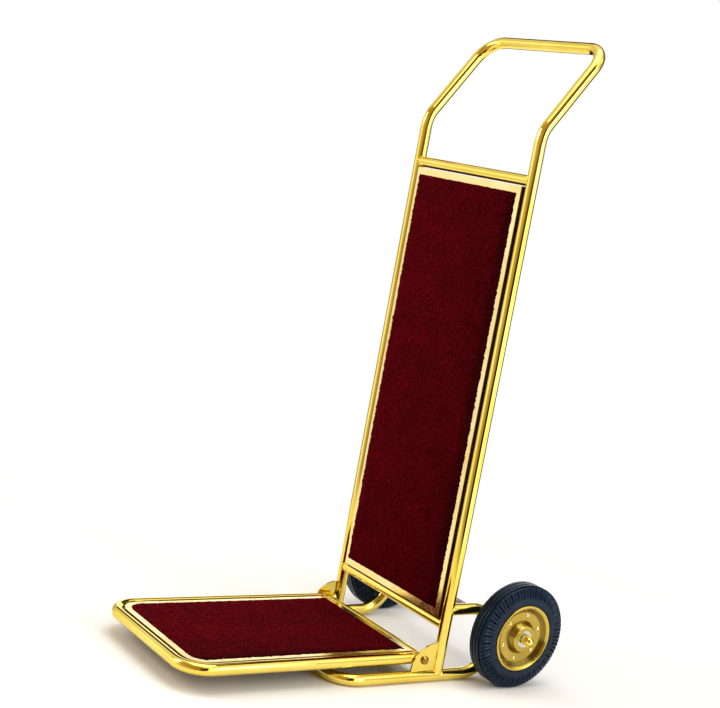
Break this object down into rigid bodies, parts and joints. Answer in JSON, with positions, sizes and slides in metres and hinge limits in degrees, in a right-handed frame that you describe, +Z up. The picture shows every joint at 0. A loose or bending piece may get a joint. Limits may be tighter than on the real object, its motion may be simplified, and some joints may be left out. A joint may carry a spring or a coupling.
{
  "type": "hotel luggage cart",
  "caption": "Folding upright luggage hand truck: bent-tube frame, carpeted back panel, fold-up carpeted platform and a pair of disc wheels on an axle.",
  "frame": {"origin": "on the floor, under the middle of the whole cart's bounding box", "axes": "+X to the cart's right, -Y towards the platform's front, +Y towards the wheels, +Z up"},
  "size_m": [0.516, 0.773, 1.202],
  "materials": {
    "gold_tube": "mirror-polished titanium gold",
    "gold_trim": "polished pale gold",
    "gold_wheel": "polished gold plate",
    "carpet": "short cut pile, dark red",
    "board": "sealed fibreboard",
    "tyre_rubber": "moulded solid rubber",
    "buffer_rubber": "matt moulded",
    "plug_plastic": "fine grain",
    "zinc_steel": "bright zinc",
    "bearing_steel": "ground"
  },
  "bodies": {
    "frame": {"upright_right": "gold_tube", "upright_left": "gold_tube", "handle_bow": "gold_tube", "upper_crossbar": "gold_tube", "lower_crossbar": "gold_tube", "base_frame": "gold_tube", "hinge_plate_right": "gold_tube", "hinge_plate_left": "gold_tube", "stop_buffers": "buffer_rubber", "axle": "zinc_steel", "axle_boss_right": "gold_tube", "axle_boss_left": "gold_tube", "axle_spacers": "zinc_steel", "axle_washers": "zinc_steel", "axle_nuts": "gold_tube", "bearing_cones": "bearing_steel", "back_board": "board", "back_carpet": "carpet", "back_trim_top": "gold_trim", "back_trim_bottom": "gold_trim", "back_trim_right": "gold_trim", "back_trim_left": "gold_trim", "back_lugs": "gold_tube", "back_screws": "zinc_steel"},
    "platform": {"platform_frame": "gold_tube", "platform_rear_bar": "gold_tube", "platform_board": "board", "platform_carpet": "carpet", "platform_trim_front": "gold_trim", "platform_trim_rear": "gold_trim", "platform_trim_right": "gold_trim", "platform_trim_left": "gold_trim", "platform_lugs": "gold_tube", "platform_screws": "zinc_steel", "platform_end_plugs": "plug_plastic", "pivot_plugs": "zinc_steel", "pivot_bolts": "gold_tube", "pivot_washers": "zinc_steel"},
    "wheel_right": {"tyre_right": "tyre_rubber", "rim_outer_right": "gold_wheel", "rim_inner_right": "gold_wheel", "rivets_right": "gold_trim", "bearing_cups_right": "bearing_steel"},
    "wheel_left": {"tyre_left": "tyre_rubber", "rim_outer_left": "gold_wheel", "rim_inner_left": "gold_wheel", "rivets_left": "gold_trim", "bearing_cups_left": "bearing_steel"}
  },
  "joints": [
    {"name": "platform_fold", "type": "hinge", "parent": "frame", "child": "platform", "pos_m": [0, 0.1105, 0.0425], "axis": [-1, 0, 0], "range_deg": [0, 90]},
    {"name": "wheel_right_spin", "type": "hinge", "parent": "frame", "child": "wheel_right", "pos_m": [0.212, 0.2865, 0.1], "axis": [1, 0, 0], "continuous": true},
    {"name": "wheel_left_spin", "type": "hinge", "parent": "frame", "child": "wheel_left", "pos_m": [-0.212, 0.2865, 0.1], "axis": [1, 0, 0], "continuous": true}
  ]
}
